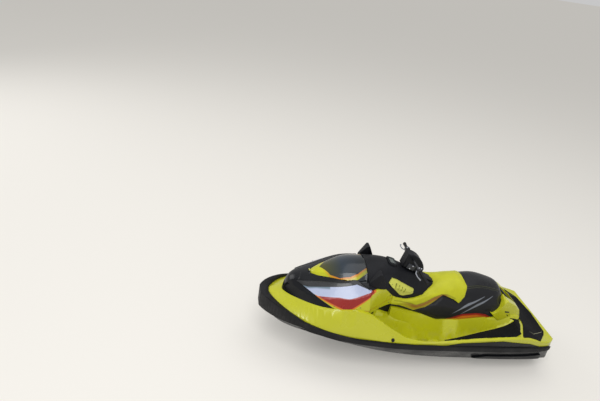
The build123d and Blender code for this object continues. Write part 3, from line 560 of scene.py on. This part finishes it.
def coated(name, colour, roughness):
    """Powder-coated or moulded small part: satin, with a fine grain drawn at 3 mm so that it shows."""
    finish = Finish(name, colour, roughness)
    finish.grain(3, 3, 0.06)
    finish.mottle(80, 4, 1.3)
    return finish.done(edge_mm=1.5, wear=0.35, worn=linear("#6B6D70"))


def pod_and_lever():
    """Black nylon switch pod and clamp, with the lever ahead of them in satin alloy."""
    finish = Finish("nylon_pod_with_alloy_lever", linear("#2B2C30"), 0.45)
    finish.grain(3, 3, 0.06)
    lever = finish.over(1.5465, finish.aft, 0.0005)
    finish.paint(lever, linear("#8E9198"))
    finish.mottle(50, 4, 1.15)
    return finish.done(edge_mm=1.5, wear=0.35, worn=linear("#7B7D80"))


def gauge_face():
    """Tinted polycarbonate over a liquid-crystal display: near black and glossy, with plain bars."""
    finish = Finish("tinted_polycarbonate", linear("#20282A"), 0.12, ior=1.585, coat=0.5)
    for side, width in ((-0.040, 0.012), (0.0, 0.030), (0.040, 0.012)):
        lit = finish.times(finish.over(width, finish.off(finish.port, side)),
                           finish.fade(finish.waves(finish.aft, GAUGE_BAR), 0.1, 0.3),
                           finish.over(1.366, finish.aft), finish.over(finish.aft, 1.324))
        finish.paint(lit, linear("#59685F"))
    finish.mottle(30, 3, 0.9)
    return finish.done(edge_mm=0.8, spread=0.04, patch_mm=40)


def vent_plastic():
    """Yellow moulded grille, a shade paler than the gelcoat."""
    finish = Finish("yellow_moulded_grille", colours().vent, 0.4)
    finish.mottle(60, 4, 0.88)
    finish.grain(4, 3, 0.08)
    return finish.done(edge_mm=2)


def silvered_glass():
    """Mirror glass: silver behind clear glass, which gives a sharp and slightly grey reflection."""
    finish = Finish("silvered_glass", linear("#D8DCE0"), 0.04, metallic=1.0)
    finish.mottle(40, 3, 0.95, 0.4)
    return finish.done(edge_mm=0.5, spread=0.02)


def activate(piece):
    """Makes one object the only selected and the active one."""
    bpy.ops.object.select_all(action="DESELECT")
    piece.select_set(True)
    bpy.context.view_layer.objects.active = piece


def settle(piece, body, material, angle=35):
    """Finishes a piece: modifiers applied, origin at the frame's, smooth, with body and finish."""
    activate(piece)
    bpy.ops.object.convert(target="MESH")
    bpy.ops.object.transform_apply(location=True, rotation=True, scale=True)
    bpy.ops.object.shade_smooth_by_angle(angle=radians(angle))
    piece.data.materials.clear()
    piece.data.materials.append(material)
    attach(piece, body)
    return piece


def stand_for(piece, node, material, angle=35):
    """Settles a piece that stands for a CAD node."""
    settle(piece, frame["nodes"][node]["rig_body"], material, angle)
    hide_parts(node)
    return piece


def copied(node, name):
    """Active copy of a CAD node's mesh with its facets joined."""
    piece = bpy.data.objects.new(name, frame["nodes"][node].data.copy())
    bpy.context.scene.collection.objects.link(piece)
    activate(piece)
    bpy.ops.object.mode_set(mode="EDIT")
    bpy.ops.mesh.select_all(action="SELECT")
    bpy.ops.mesh.remove_doubles(threshold=0.00005)
    bpy.ops.object.mode_set(mode="OBJECT")
    return piece


def skin(node, material, angle=35):
    """Dressed copy of a CAD node, its facets shaded as the curves they stand for."""
    piece = copied(node, node + "_skin")
    bpy.ops.object.mode_set(mode="EDIT")
    bpy.ops.mesh.select_all(action="SELECT")
    bpy.ops.mesh.beautify_fill(angle_limit=radians(4))
    bpy.ops.mesh.dissolve_limited(angle_limit=radians(0.4))
    bpy.ops.object.mode_set(mode="OBJECT")
    stand_for(piece, node, material, angle)
    even = piece.modifiers.new("even", "WEIGHTED_NORMAL")
    even.keep_sharp = True
    even.weight = 80
    activate(piece)
    bpy.ops.object.modifier_apply(modifier=even.name)
    return piece


def both(name):
    """The names of a piece's port and starboard nodes."""
    return [name + "_port", name + "_starboard"]


def turned(name, rows, at, direction, sides=32):
    """Round piece grown from a circle along its axis; each row is a distance and a radius."""
    bpy.ops.object.select_all(action="DESELECT")
    start, radius = rows[0]
    bpy.ops.mesh.primitive_circle_add(
        vertices=sides, radius=radius, fill_type="NGON", location=(0, 0, start))
    piece = bpy.context.active_object
    piece.name = name
    bpy.ops.object.transform_apply(location=True)
    bpy.ops.object.mode_set(mode="EDIT")
    bpy.ops.mesh.select_all(action="SELECT")
    for (here, old), (there, new) in zip(rows, rows[1:]):
        bpy.ops.mesh.extrude_region_move(TRANSFORM_OT_translate={"value": (0, 0, there - here)})
        bpy.ops.transform.resize(value=(new / old,) * 3, center_override=(0, 0, there))
    bpy.ops.mesh.select_all(action="SELECT")
    bpy.ops.mesh.normals_make_consistent(inside=False)
    bpy.ops.object.mode_set(mode="OBJECT")
    turn = Vector(direction).to_track_quat("Z", "Y").to_matrix().to_4x4()
    piece.matrix_world = Matrix.Translation(Vector(at)) @ turn
    return piece


def block(name, size, place, corner=0.0, edge=0.001):
    """Box of that size at a place, a matrix, with its upright corners rounded and then its edges."""
    bpy.ops.object.select_all(action="DESELECT")
    bpy.ops.mesh.primitive_cube_add(size=1)
    piece = bpy.context.active_object
    piece.name = name
    piece.scale = size
    bpy.ops.object.transform_apply(location=False, rotation=False, scale=True)
    if corner:
        bpy.ops.object.mode_set(mode="EDIT")
        bpy.ops.mesh.select_all(action="DESELECT")
        bpy.ops.object.mode_set(mode="OBJECT")
        points = piece.data.vertices
        for side in piece.data.edges:
            first, last = (points[i].co for i in side.vertices)
            side.select = abs(first.z - last.z) > size[2] / 2
        bpy.ops.object.mode_set(mode="EDIT")
        bpy.ops.mesh.select_mode(type="EDGE")
        bpy.ops.mesh.bevel(offset=corner, segments=6)
        bpy.ops.object.mode_set(mode="OBJECT")
    round_edges(piece, edge)
    piece.matrix_world = place
    return piece


def round_edges(piece, width):
    """Bevel modifier on the sharp edges, applied."""
    bevel = piece.modifiers.new("round", "BEVEL")
    bevel.width = width
    bevel.segments = 3
    bevel.limit_method = "ANGLE"
    bevel.angle_limit = radians(30)
    activate(piece)
    bpy.ops.object.modifier_apply(modifier=bevel.name)


def joined(pieces, name):
    """Several objects as one mesh."""
    activate(pieces[0])
    for piece in pieces[1:]:
        piece.select_set(True)
    bpy.ops.object.join()
    pieces[0].name = name
    return pieces[0]


def on_surface(node, start, direction):
    """Place and outward normal where a ray meets a CAD node."""
    mesh = frame["nodes"][node].data
    tree = BVHTree.FromPolygons([v.co for v in mesh.vertices], [f.vertices for f in mesh.polygons])
    place, normal, *_ = tree.ray_cast(Vector(start), Vector(direction))
    if place is None:
        raise RuntimeError(f"no surface of {node} at {start}")
    if normal.dot(Vector(direction)) > 0:
        normal = -normal
    return place, normal


def screw(at, normal, radius):
    """Button-head screw with a six-sided socket, standing on a surface."""
    head = turned("screw", [(-0.001, radius), (0.3 * radius, radius), (0.6 * radius, 0.72 * radius)],
                  at, normal, 12)
    activate(head)
    bpy.ops.object.mode_set(mode="EDIT")
    bpy.ops.mesh.select_all(action="DESELECT")
    bpy.ops.object.mode_set(mode="OBJECT")
    top = max(head.data.polygons, key=lambda face: face.center.z)
    top.select = True
    bpy.ops.object.mode_set(mode="EDIT")
    bpy.ops.mesh.select_mode(type="FACE")
    bpy.ops.mesh.inset(thickness=0.3 * radius)
    bpy.ops.mesh.extrude_region_move(TRANSFORM_OT_translate={"value": tuple(-0.5 * radius * normal)})
    bpy.ops.object.mode_set(mode="OBJECT")
    return head


def screws(name, body, material, places, radius):
    """A set of like screws as one piece; each place is a point and a normal."""
    heads = [screw(at, normal, radius) for at, normal in places]
    return settle(joined(heads, name), body, material, 30)


def press(piece, points, flat, depth, reach):
    """Presses a seam into a padded piece along a bent line of flat places (two of a point's axes)."""
    line = [Vector(place) for place in points]
    for vertex in piece.data.vertices:
        at = Vector(flat(vertex.co))
        near = reach
        for first, last in zip(line, line[1:]):
            foot, share = intersect_point_line(at, first, last)
            if -0.02 <= share <= 1.02:
                near = min(near, (at - foot).length)
        if near < reach:
            vertex.co -= vertex.normal * depth * (1 - (near / reach) ** 2) ** 2


# How far a cushion's thin rim laps over what it lies on, and the height of its pinned foot
LAP = 0.003
FOOT = 0.02

# The cloth's pressure and the frames that it is given to swell
PRESSURE = 4
FRAMES = 20

# Depth and half width of the seam pressed into a cushion
SEAM_DEPTH = 0.004
SEAM_REACH = 0.010


def blow_up(piece, pinned, cap):
    """Swells a closed mesh as pressurised cloth and keeps each point's move under the cap."""
    before = [v.co.copy() for v in piece.data.vertices]
    cloth = piece.modifiers.new("cloth", "CLOTH")
    cloth.settings.quality = 5
    cloth.settings.use_pressure = True
    cloth.settings.uniform_pressure_force = PRESSURE
    cloth.settings.effector_weights.gravity = 0
    cloth.settings.vertex_group_mass = pinned
    scene = bpy.context.scene
    for number in range(FRAMES):
        scene.frame_set(number + 1)
    blown = piece.evaluated_get(bpy.context.evaluated_depsgraph_get())
    after = [v.co.copy() for v in blown.data.vertices]
    piece.modifiers.remove(cloth)
    scene.frame_set(1)
    for vertex, start, end in zip(piece.data.vertices, before, after):
        move = end - start
        if move.length > cap:
            move = move.normalized() * cap
        vertex.co = start + move


def cushion(node, name, material, seam_line, flat):
    """Padded piece from a CAD cushion: lapped over its rim, remeshed, blown up, its seam pressed in."""
    piece = copied(node, name)
    lap = piece.modifiers.new("lap", "DISPLACE")
    lap.strength = LAP
    lap.mid_level = 0
    bpy.ops.object.modifier_apply(modifier=lap.name)
    remesh = piece.modifiers.new("remesh", "REMESH")
    remesh.mode = "VOXEL"
    remesh.voxel_size = sizes().voxel
    bpy.ops.object.modifier_apply(modifier=remesh.name)
    pins = piece.vertex_groups.new(name="pins")
    low = min(v.co.z for v in piece.data.vertices)
    for vertex in piece.data.vertices:
        if vertex.normal.z < -0.4 or vertex.co.z < low + FOOT:
            pins.add([vertex.index], 1.0, "REPLACE")
    blow_up(piece, pins.name, sizes().swell)
    smooth = piece.modifiers.new("smooth", "SMOOTH")
    smooth.factor = 0.5
    smooth.iterations = 8
    bpy.ops.object.modifier_apply(modifier=smooth.name)
    press(piece, seam_line, flat, SEAM_DEPTH, SEAM_REACH)
    stand_for(piece, node, material, 60)
    return piece


def background_rays(tree):
    """1 for the rays that show the background: the camera's, and those in metal or glass."""
    rays = add(tree, "ShaderNodeLightPath").outputs
    within = add(tree, "ShaderNodeMath", {0: rays["Is Glossy Ray"], 1: rays["Is Transmission Ray"]},
                 operation="MAXIMUM").outputs[0]
    return add(tree, "ShaderNodeMath", {0: rays["Is Camera Ray"], 1: within},
               operation="MAXIMUM").outputs[0]


class CRAFT_OT_stage(bpy.types.Operator):
    """Pale floor, soft studio light and the photograph's camera."""

    bl_idname = "craft.stage"
    bl_label = "Stage"

    def execute(self, context):
        bpy.ops.object.select_all(action="DESELECT")
        bpy.ops.mesh.primitive_plane_add(size=FLOOR_SIZE)
        floor = context.active_object
        floor.name = "floor"
        paper = bpy.data.materials.new("studio_floor")
        paper.use_nodes = True
        tree = paper.node_tree
        shader = tree.nodes["Principled BSDF"]
        shader.inputs["Base Color"].default_value = (*linear("#D4D1CB"), 1)
        shader.inputs["Roughness"].default_value = 0.9
        shader.inputs["Specular IOR Level"].default_value = 0.0
        shader.inputs["Emission Color"].default_value = (*linear("#E6E3DD"), 1)
        glow = add(tree, "ShaderNodeMath", {0: background_rays(tree), 1: 0.30},
                   operation="MULTIPLY").outputs[0]
        tree.links.new(glow, shader.inputs["Emission Strength"])
        floor.data.materials.append(paper)
        world = bpy.data.worlds.new("studio")
        context.scene.world = world
        world.use_nodes = True
        tree = world.node_tree
        sky = tree.nodes["Background"]
        level = add(tree, "ShaderNodeMapRange", {0: background_rays(tree), 3: 0.5, 4: 0.64}).outputs[0]
        tree.links.new(level, sky.inputs["Strength"])
        sky.inputs["Color"].default_value = (*linear("#F2F2F2"), 1)
        # Name, place, watts and width of each lamp; a wide one gives soft shadows
        lamps = [
            ("key", (3.0, 7.0, 11.0), 800, 7.0),
            ("top", (-1.0, -2.0, 12.0), 260, 9.0),
            ("fill", (9.0, -6.0, 6.0), 220, 6.0),
        ]
        for name, place, power, size in lamps:
            data = bpy.data.lights.new(name, "AREA")
            data.energy = power
            data.size = size
            lamp = bpy.data.objects.new(name, data)
            context.scene.collection.objects.link(lamp)
            aim = Vector((0, 0, 0.5)) - Vector(place)
            lamp.rotation_euler = aim.to_track_quat("-Z", "Y").to_euler()
            lamp.location = place
        data = bpy.data.cameras.new("camera")
        data.lens = LENS_MM
        data.sensor_width = SENSOR_MM
        data.clip_end = 200
        camera = bpy.data.objects.new("camera", data)
        context.scene.collection.objects.link(camera)
        turn = (Matrix.Rotation(radians(CAMERA_AZIMUTH), 4, "Z")
                @ Matrix.Rotation(radians(90 - CAMERA_ELEVATION), 4, "X")
                @ Matrix.Rotation(radians(CAMERA_ROLL), 4, "Z"))
        camera.matrix_world = Matrix.Translation(CAMERA_PLACE) @ turn
        context.scene.camera = camera
        context.scene.view_settings.view_transform = "Standard"
        return {"FINISHED"}


class CRAFT_OT_hull(bpy.types.Operator):
    """Hull, bumper, sponsons, ride plate and the fittings in them."""

    bl_idname = "craft.hull"
    bl_label = "Hull and bumper"

    def execute(self, context):
        gel = black_gelcoat()
        rubber = bumper_rubber()
        steel = metal("polished_stainless_steel", linear("#C9C9CC"), 0.22, 5, 0.02)
        plate = coated("black_anodised_alloy", linear("#24262A"), 0.42)
        skin("hull", gel, 28)
        skin("bumper", rubber, 40)
        for node in both("quarter_panel"):
            skin(node, gel, 30)
        for node in both("side_outlet") + both("drain_plug"):
            skin(node, rubber, 40)
        for node in both("sponson"):
            skin(node, moulded_plastic(), 35)
        for node in ["bow_eye"] + both("stern_eye"):
            skin(node, steel, 40)
        skin("ride_plate", plate, 30)
        skin("intake_grate", metal("cast_aluminium", linear("#A9ABAE"), 0.45, 3, 0.12), 30)
        skin("engine", metal("cast_iron", linear("#5B5C5E"), 0.6, 3, 0.2), 30)
        return {"FINISHED"}


class CRAFT_OT_deck(bpy.types.Operator):
    """Deck, rear cowl and what stands between its fins, mats and the storage bin."""

    bl_idname = "craft.deck"
    bl_label = "Deck and mats"

    def execute(self, context):
        skin("deck", deck_gelcoat(), 28)
        skin("rear_cowl", cowl_gelcoat(), 30)
        plastic = moulded_plastic()
        for node in ("tail_block", "tail_cap", "storage_bin"):
            skin(node, plastic, 30)
        mat = foam_mat().done(edge_mm=1.5, spread=0.05)
        for node in both("footwell_mat"):
            skin(node, mat, 30)
        skin("platform_mat", platform_foam().done(edge_mm=1.5, spread=0.05), 30)
        skin("grab_handle", coated("soft_touch_grip", linear("#1C1C1F"), 0.6), 40)
        return {"FINISHED"}


class CRAFT_OT_cowls(bpy.types.Operator):
    """Nose, cowl, fairings, hood, console, gauge, vents, glovebox lid and mirrors."""

    bl_idname = "craft.cowls"
    bl_label = "Cowls and hood"

    def execute(self, context):
        black = gloss_black()
        plastic = moulded_plastic()
        skin("nose_panel", black, 30)
        skin("front_cowl", black, 30)
        skin("hood", hood_film(), 30)
        for node in ("console", "glovebox_lid", "gauge", *both("mirror_pod")):
            skin(node, plastic, 35)
        film = fairing_film()
        grille = vent_plastic()
        for fairing, vent in zip(both("side_fairing"), both("side_vent")):
            skin(fairing, film, 30)
            skin(vent, grille, 30)
        for node in both("mirror_glass"):
            skin(node, silvered_glass(), 30)
        steel = metal("hinge_stainless_steel", linear("#C9C9CC"), 0.28, 4, 0.02)
        for node in ("hood_pin", "lid_pin"):
            skin(node, steel, 40)
        return {"FINISHED"}


# Screws of the side panels, as (aft, up), and the radii of their heads
FAIRING_SCREWS = [(0.580, 0.758), (0.700, 0.716), (0.960, 0.730), (1.060, 0.676), (1.200, 0.658),
                  (1.305, 0.690), (1.300, 0.785)]
FAIRING_SCREW_R = 0.0055
VENT_SCREWS = [(1.303, 0.904), (1.538, 0.815)]
VENT_SCREW_R = 0.0042

# Gauge screen: its size and how far it stands above the gauge's face
SCREEN_SIZE = (0.070, 0.116, 0.0026)
SCREEN_RISE = 0.0042

# Rings of a gauge key and of a switch key, as (distance, radius)
GAUGE_KEY_ROWS = [(-0.001, 0.0050), (0.0016, 0.0050), (0.0024, 0.0040)]
KEY_ROWS = [(-0.002, 0.0068), (0.0030, 0.0068), (0.0042, 0.0058)]


class CRAFT_OT_trim(bpy.types.Operator):
    """Gauge screen and its keys, and the screws of the side panels."""

    bl_idname = "craft.trim"
    bl_label = "Trim and screws"

    def execute(self, context):
        plane = Matrix.Translation(GAUGE_MIDDLE) @ Matrix.Rotation(-GAUGE_TIP, 4, "Y")
        raised = plane @ Matrix.Translation((0, 0, SCREEN_RISE))
        screen = block("gauge_screen", SCREEN_SIZE, raised, 0.011, 0.0006)
        settle(screen, "craft", gauge_face(), 30)
        dark = coated("soft_key_rubber", linear("#2D2E31"), 0.6)
        outward = plane.to_3x3() @ Vector((0, 0, 1))
        keys = [turned("key", GAUGE_KEY_ROWS, plane @ Vector((ahead, side, 0.006)), outward, 20)
                for side in (-0.067, 0.067) for ahead in (-0.018, 0.018)]
        settle(joined(keys, "gauge_keys"), "craft", dark, 35)
        steel = metal("blackened_stainless_steel", linear("#6B6D72"), 0.35, 2, 0.02)
        for side, name in ((1, "port"), (-1, "starboard")):
            places = [on_surface("side_fairing_" + name, (x_at(aft), side * 0.9, up), (0, -side, 0))
                      for aft, up in FAIRING_SCREWS]
            screws("fairing_screws_" + name, "craft", steel, places, FAIRING_SCREW_R)
            places = [on_surface("side_vent_" + name, (x_at(aft), side * 0.9, up), (0, -side, 0))
                      for aft, up in VENT_SCREWS]
            screws("vent_screws_" + name, "craft", steel, places, VENT_SCREW_R)
        return {"FINISHED"}


class CRAFT_OT_seat(bpy.types.Operator):
    """Saddle and rear seat, padded."""

    bl_idname = "craft.seat"
    bl_label = "Seat"

    def execute(self, context):
        cushion("seat_saddle", "seat_saddle_cushion", saddle_vinyl(), SADDLE_SEAM,
                lambda co: (BOW_X - co.x, co.z))
        cushion("seat_rear", "seat_rear_cushion", rear_vinyl(), REAR_SEAM,
                lambda co: (BOW_X - co.x, abs(co.y)))
        return {"FINISHED"}


# Switch panel on the riser's port side: its size, its middle, and its keys' places on it
PANEL_SIZE = (0.092, 0.016, 0.062)
PANEL_MIDDLE = (0.074, 0.066, 1.000)
PANEL_KEYS = [(0.091, 0.075, 0.986), (0.059, 0.075, 1.016)]

# From the bar's middle to the top of a switch pod and to its back
POD_TOP = Vector((-0.006, 0, 0.0225))
POD_BACK = Vector((-0.0255, 0, 0.002))

# Ribs of a grip: how many, their pitch, and the grip's radius between and on them
RIBS = 16
RIB_PITCH = 0.0085
GRIP_R = 0.0152
RIB_R = 0.0166

# Rings of a grip's inner collar and of its end, as (distance, radius)
COLLAR_ROWS = [(0.0, 0.0195), (0.004, 0.0195), (0.005, GRIP_R)]
END_ROWS = [(0.145, GRIP_R), (0.147, 0.0190), (0.158, 0.0188), (0.163, 0.0150), (0.165, 0.0080)]

# Rings of the button on the back of a switch pod
STOP_ROWS = [(-0.002, 0.0085), (0.003, 0.0085), (0.005, 0.0070)]


def grip_rows():
    """Rings of a ribbed grip from its collar to its end."""
    rows = list(COLLAR_ROWS)
    for number in range(RIBS):
        here = 0.009 + number * RIB_PITCH
        rows += [(here, GRIP_R), (here + 0.0012, RIB_R), (here + 0.0052, RIB_R),
                 (here + 0.0064, GRIP_R)]
    return rows + END_ROWS


class CRAFT_OT_steering(bpy.types.Operator):
    """Handlebar, column, riser with its switch panel, ribbed grips, pods, levers and keys."""

    bl_idname = "craft.steering"
    bl_label = "Steering"

    def execute(self, context):
        tube = coated("powder_coated_tube", linear("#1E1F22"), 0.4)
        skin("handlebar", tube, 40)
        skin("steering_column", tube, 40)
        skin("riser_cover", moulded_plastic(), 30)
        rubber = bumper_rubber()
        pod = pod_and_lever()
        pale = coated("moulded_acetal", linear("#B9BCC2"), 0.35)
        red = coated("red_acetal", linear("#A8261E"), 0.35)
        place = Matrix.Translation(PANEL_MIDDLE) @ Matrix.Rotation(-COLUMN_TILT, 4, "Y")
        panel = block("riser_switch_panel", PANEL_SIZE, place, 0.0, 0.005)
        grey = coated("grey_moulded_nylon", linear("#2B2D32"), 0.45)
        settle(panel, "handlebar", grey, 30)
        keys = [turned("key", KEY_ROWS, place, (0, 1, 0), 24) for place in PANEL_KEYS]
        settle(joined(keys, "riser_keys"), "handlebar", pale, 35)
        for side, name in ((1, "port"), (-1, "starboard")):
            flip = Vector((1, side, 1))
            grip = turned("grip_rubber_" + name, grip_rows(), GRIP_START * flip,
                          (BAR_END - BAR_BEND) * flip, 32)
            stand_for(grip, "grip_" + name, rubber, 40)
            skin("controls_" + name, pod, 30)
            top = POD_MIDDLE * flip + POD_TOP
            keys = [turned("key", KEY_ROWS, top + Vector((ahead, side * out, 0)), (0, 0, 1), 24)
                    for ahead, out in ((0.012, -0.006), (-0.010, 0.006))]
            settle(joined(keys, "switch_keys_" + name), "handlebar", pale, 35)
            back = POD_MIDDLE * flip + POD_BACK
            stop = turned("switch_stop_" + name, STOP_ROWS, back, (-1, 0, 0), 24)
            settle(stop, "handlebar", red if side > 0 else pale, 35)
        return {"FINISHED"}


# Height of the pump's axis, the rear face of the venturi's flange, and the flange's ring of screws
PUMP_Z = 0.150
FLANGE_X = x_at(2.954)
FLANGE_R = 0.094
FLANGE_SCREWS = 8
FLANGE_SCREW_R = 0.0038


class CRAFT_OT_pump(bpy.types.Operator):
    """Jet pump, impeller, nozzle and reverse bucket."""

    bl_idname = "craft.pump"
    bl_label = "Jet pump"

    def execute(self, context):
        alloy = metal("cast_aluminium_housing", linear("#A9ABAE"), 0.42, 3, 0.12)
        skin("pump_housing", alloy, 35)
        skin("venturi", alloy, 35)
        skin("impeller", metal("machined_stainless_steel", linear("#BFC0C3"), 0.25, 2, 0.03), 40)
        nylon = coated("glass_filled_nylon", linear("#1E1F21"), 0.5)
        skin("steering_nozzle", nylon, 35)
        skin("reverse_bucket", nylon, 35)
        places = []
        for number in range(FLANGE_SCREWS):
            angle = 2 * pi * (number + 0.5) / FLANGE_SCREWS
            at = Vector((FLANGE_X, FLANGE_R * cos(angle), PUMP_Z + FLANGE_R * sin(angle)))
            places.append((at, Vector((-1, 0, 0))))
        zinc = metal("zinc_plated_steel", linear("#B4B6B9"), 0.3, 2, 0.02)
        screws("flange_screws", "craft", zinc, places, FLANGE_SCREW_R)
        return {"FINISHED"}


class CRAFT_PT_panel(bpy.types.Panel):
    """Lists the craft's pieces, colours and sizes."""

    bl_label = "Personal watercraft"
    bl_idname = "CRAFT_PT_panel"
    bl_space_type = "VIEW_3D"
    bl_region_type = "UI"
    bl_category = "Craft"

    def draw(self, context):
        layout = self.layout
        for operator in OPERATORS:
            layout.operator(operator.bl_idname)
        for group in (context.scene.craft_colours, context.scene.craft_sizes):
            for name in group.__annotations__:
                layout.prop(group, name)


OPERATORS = (
    CRAFT_OT_stage,
    CRAFT_OT_hull,
    CRAFT_OT_deck,
    CRAFT_OT_cowls,
    CRAFT_OT_trim,
    CRAFT_OT_seat,
    CRAFT_OT_steering,
    CRAFT_OT_pump,
)
CLASSES = (CraftColours, CraftSizes, *OPERATORS, CRAFT_PT_panel)


def register():
    """Adds the classes and the craft's colours and sizes."""
    for cls in CLASSES:
        bpy.utils.register_class(cls)
    bpy.types.Scene.craft_colours = PointerProperty(type=CraftColours)
    bpy.types.Scene.craft_sizes = PointerProperty(type=CraftSizes)


def unregister():
    """Takes away what register added."""
    del bpy.types.Scene.craft_colours
    del bpy.types.Scene.craft_sizes
    for cls in reversed(CLASSES):
        bpy.utils.unregister_class(cls)


def main():
    """Registers the add-on and builds everything."""
    register()
    for operator in OPERATORS:
        group, name = operator.bl_idname.split(".")
        getattr(getattr(bpy.ops, group), name)()


if __name__ == "__main__":
    main()
